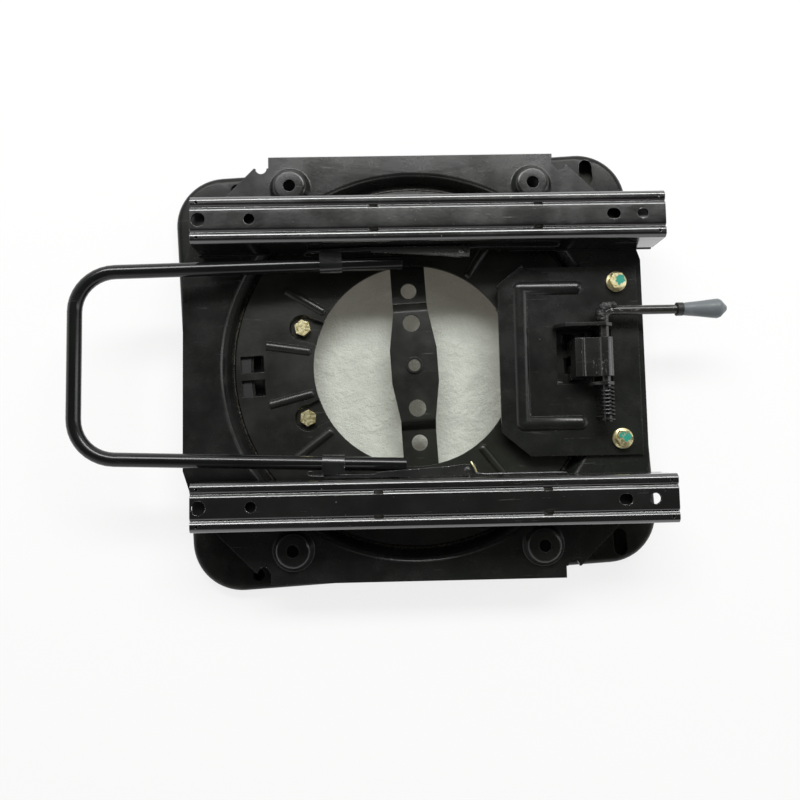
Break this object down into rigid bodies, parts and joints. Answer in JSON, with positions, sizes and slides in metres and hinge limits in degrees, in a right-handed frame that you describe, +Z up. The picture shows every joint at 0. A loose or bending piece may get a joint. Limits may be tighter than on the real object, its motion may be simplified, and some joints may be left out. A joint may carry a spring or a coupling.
{
  "type": "swivel seat base",
  "caption": "Camper seat swivel: flat base plate, ball-bearing turntable under a retaining disc, sprung swivel lock lever, two sliding seat rails and a looped release bar.",
  "frame": {"origin": "on the swivel axis, level with the base plate's lower edge", "axes": "+Z up along the swivel axis, +X to the seat's rear along the rails, -Y to the sitter's left"},
  "size_m": [0.56, 0.3958, 0.078],
  "materials": {
    "base_paint": "satin black, dusty",
    "disc_paint": "satin black with greasy patches",
    "turntable_paint": "satin black",
    "rail_paint": "gloss black, chipped at the ends",
    "lock_paint": "satin black",
    "bar_paint": "gloss black",
    "rod_black": "black phosphate, worn",
    "zinc_bolts": "yellow zinc plate",
    "spring_steel": "oiled black wire",
    "ball_steel": "polished",
    "cage_brass": "plain",
    "glide_plastic": "matte",
    "collar_black": "matte",
    "grip_grey": "satin grey"
  },
  "bodies": {
    "base": {"base_plate": "base_paint", "retaining_disc": "disc_paint", "disc_bolts": "zinc_bolts", "disc_nuts": "zinc_bolts", "glide_ring": "collar_black", "centre_strap": "disc_paint", "strap_rivets": "disc_paint"},
    "bearing": {"race_balls": "ball_steel", "ball_cage": "cage_brass"},
    "turntable": {"turntable_plate": "turntable_paint", "right_lower_rail": "rail_paint", "left_lower_rail": "rail_paint", "lock_plate": "lock_paint", "lock_plate_bolts": "zinc_bolts", "lock_plate_nuts": "zinc_bolts", "lock_spring": "spring_steel"},
    "right_cage": {"right_rail_cage": "glide_plastic", "right_rail_balls": "ball_steel"},
    "left_cage": {"left_rail_cage": "glide_plastic", "left_rail_balls": "ball_steel"},
    "right_rail": {"right_upper_rail": "rail_paint", "right_latch_rivet": "rail_paint", "right_latch_spring": "spring_steel"},
    "left_rail": {"left_upper_rail": "rail_paint", "left_latch_rivet": "rail_paint", "left_latch_spring": "spring_steel"},
    "release": {"release_bar": "bar_paint", "right_bar_clip": "bar_paint", "left_bar_clip": "bar_paint", "right_latch_lever": "rail_paint", "left_latch_lever": "rail_paint"},
    "lock_lever": {"lock_rod": "rod_black", "lock_pawl": "lock_paint", "axle_clip": "spring_steel", "lever_collar": "collar_black", "lever_grip": "grip_grey"}
  },
  "joints": [
    {"name": "swivel", "type": "hinge", "parent": "base", "child": "turntable", "pos_m": [0, 0, 0.022], "axis": [0, 0, 1], "continuous": true},
    {"name": "bearing_roll", "type": "hinge", "parent": "base", "child": "bearing", "pos_m": [0, 0, 0.018], "axis": [0, 0, 1], "continuous": true},
    {"name": "right_slide", "type": "slide", "parent": "turntable", "child": "right_rail", "axis": [1, 0, 0], "range_m": [-0.09, 0.09]},
    {"name": "left_slide", "type": "slide", "parent": "turntable", "child": "left_rail", "axis": [1, 0, 0], "range_m": [-0.09, 0.09]},
    {"name": "right_cage_roll", "type": "slide", "parent": "turntable", "child": "right_cage", "axis": [1, 0, 0], "range_m": [-0.045, 0.045]},
    {"name": "left_cage_roll", "type": "slide", "parent": "turntable", "child": "left_cage", "axis": [1, 0, 0], "range_m": [-0.045, 0.045]},
    {"name": "release_lift", "type": "hinge", "parent": "right_rail", "child": "release", "pos_m": [0.0415, 0.0965, 0.0565], "axis": [0, 1, 0], "range_deg": [0, 8], "stiffness_Nm_per_rad": 3, "springref_deg": -8.59},
    {"name": "lock_lift", "type": "hinge", "parent": "turntable", "child": "lock_lever", "pos_m": [0.1634, 0, 0.055], "axis": [0, 1, 0], "range_deg": [0, 14], "stiffness_Nm_per_rad": 1.5, "springref_deg": -17.19}
  ],
  "couplings": [
    {"joint": "bearing_roll", "follows": "swivel", "ratio": 0.5},
    {"joint": "left_slide", "follows": "right_slide", "ratio": 1},
    {"joint": "right_cage_roll", "follows": "right_slide", "ratio": 0.5},
    {"joint": "left_cage_roll", "follows": "right_slide", "ratio": 0.5}
  ]
}
